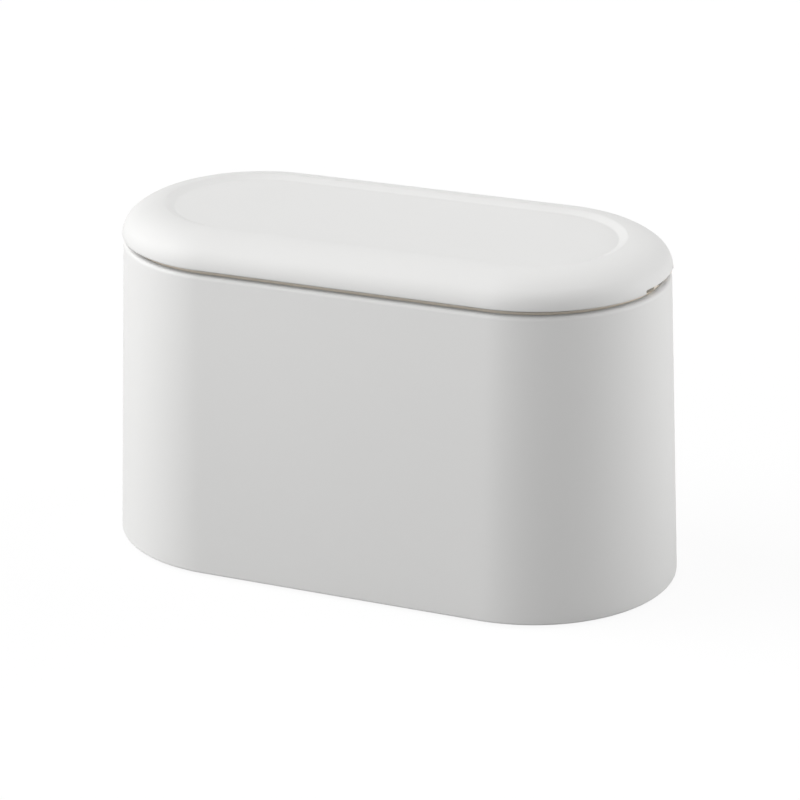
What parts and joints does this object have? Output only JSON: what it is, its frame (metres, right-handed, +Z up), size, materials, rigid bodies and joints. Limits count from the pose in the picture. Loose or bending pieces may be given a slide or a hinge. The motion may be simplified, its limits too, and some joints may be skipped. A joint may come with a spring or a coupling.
{
  "type": "push top countertop bin",
  "caption": "Racetrack countertop bin: tapered sleeve, lift-out bucket, bag ring, and a dished sprung lid that opens when pressed.",
  "frame": {"origin": "under the middle of the feet, on the surface that the bin stands on", "axes": "+X along the bin to the hinge end, +Y to the back, +Z up"},
  "size_m": [0.23, 0.115, 0.1367],
  "materials": {
    "white_shell": "fine matte moulded white",
    "white_inner": "plain moulded off-white",
    "grey_bucket": "satin moulded light grey",
    "warm_grey_ring": "satin moulded warm grey",
    "natural_acetal": "smooth natural acetal",
    "grey_rubber": "soft silicone",
    "zinc_steel": "zinc plated",
    "spring_steel": "drawn stainless wire"
  },
  "bodies": {
    "sleeve": {"outer_sleeve": "white_shell", "base_plate": "white_inner", "front_left_foot": "grey_rubber", "front_right_foot": "grey_rubber", "rear_left_foot": "grey_rubber", "rear_right_foot": "grey_rubber", "base_screws": "zinc_steel"},
    "bucket": {"inner_bucket": "grey_bucket"},
    "ring": {"bag_ring": "warm_grey_ring", "front_bumper": "grey_rubber", "rear_bumper": "grey_rubber", "latch_housing": "white_inner", "latch_screws": "zinc_steel", "latch_spring": "spring_steel", "catch_pin": "spring_steel", "catch_spring": "spring_steel", "front_lid_spring": "spring_steel", "rear_lid_spring": "spring_steel"},
    "pin": {"hinge_pin": "spring_steel"},
    "lid": {"lid_shell": "white_shell", "lid_liner": "white_inner", "lid_screws": "zinc_steel", "striker": "natural_acetal", "striker_screws": "zinc_steel"},
    "slider": {"latch_slider": "natural_acetal"},
    "catch": {"catch": "natural_acetal"},
    "track_pin": {"track_pin": "spring_steel"}
  },
  "joints": [
    {"name": "bucket_lift", "type": "slide", "parent": "sleeve", "child": "bucket", "axis": [0, 0, 1], "range_m": [0, 0.125]},
    {"name": "ring_lift", "type": "slide", "parent": "bucket", "child": "ring", "axis": [0, 0, 1], "range_m": [0, 0.04]},
    {"name": "lid_press", "type": "hinge", "parent": "ring", "child": "pin", "pos_m": [0.1073, 0, 0.1256], "axis": [0, 1, 0], "range_deg": [-0.45, 0], "stiffness_Nm_per_rad": 20, "springref_deg": 1.15},
    {"name": "lid_open", "type": "hinge", "parent": "pin", "child": "lid", "pos_m": [0.1073, 0, 0.1256], "axis": [0, 1, 0], "range_deg": [0, 75], "deforming": ["front_lid_spring", "rear_lid_spring"]},
    {"name": "slider_travel", "type": "slide", "parent": "ring", "child": "slider", "axis": [0, 0, 1], "range_m": [-0.0017, 0], "deforming": ["latch_spring"]},
    {"name": "catch_swing", "type": "hinge", "parent": "ring", "child": "catch", "pos_m": [-0.09765, 0, 0.11], "axis": [0, -1, 0], "range_deg": [0, 10], "stiffness_Nm_per_rad": 0.05, "springref_deg": -5.73, "deforming": ["catch_spring"]},
    {"name": "track_pin_swing", "type": "hinge", "parent": "ring", "child": "track_pin", "pos_m": [-0.0885, 0, 0.1054], "axis": [1, 0, 0], "range_deg": [-3, 3]}
  ],
  "couplings": [
    {"joint": "slider_travel", "follows": "lid_press", "m_per_rad": 0.1998}
  ]
}
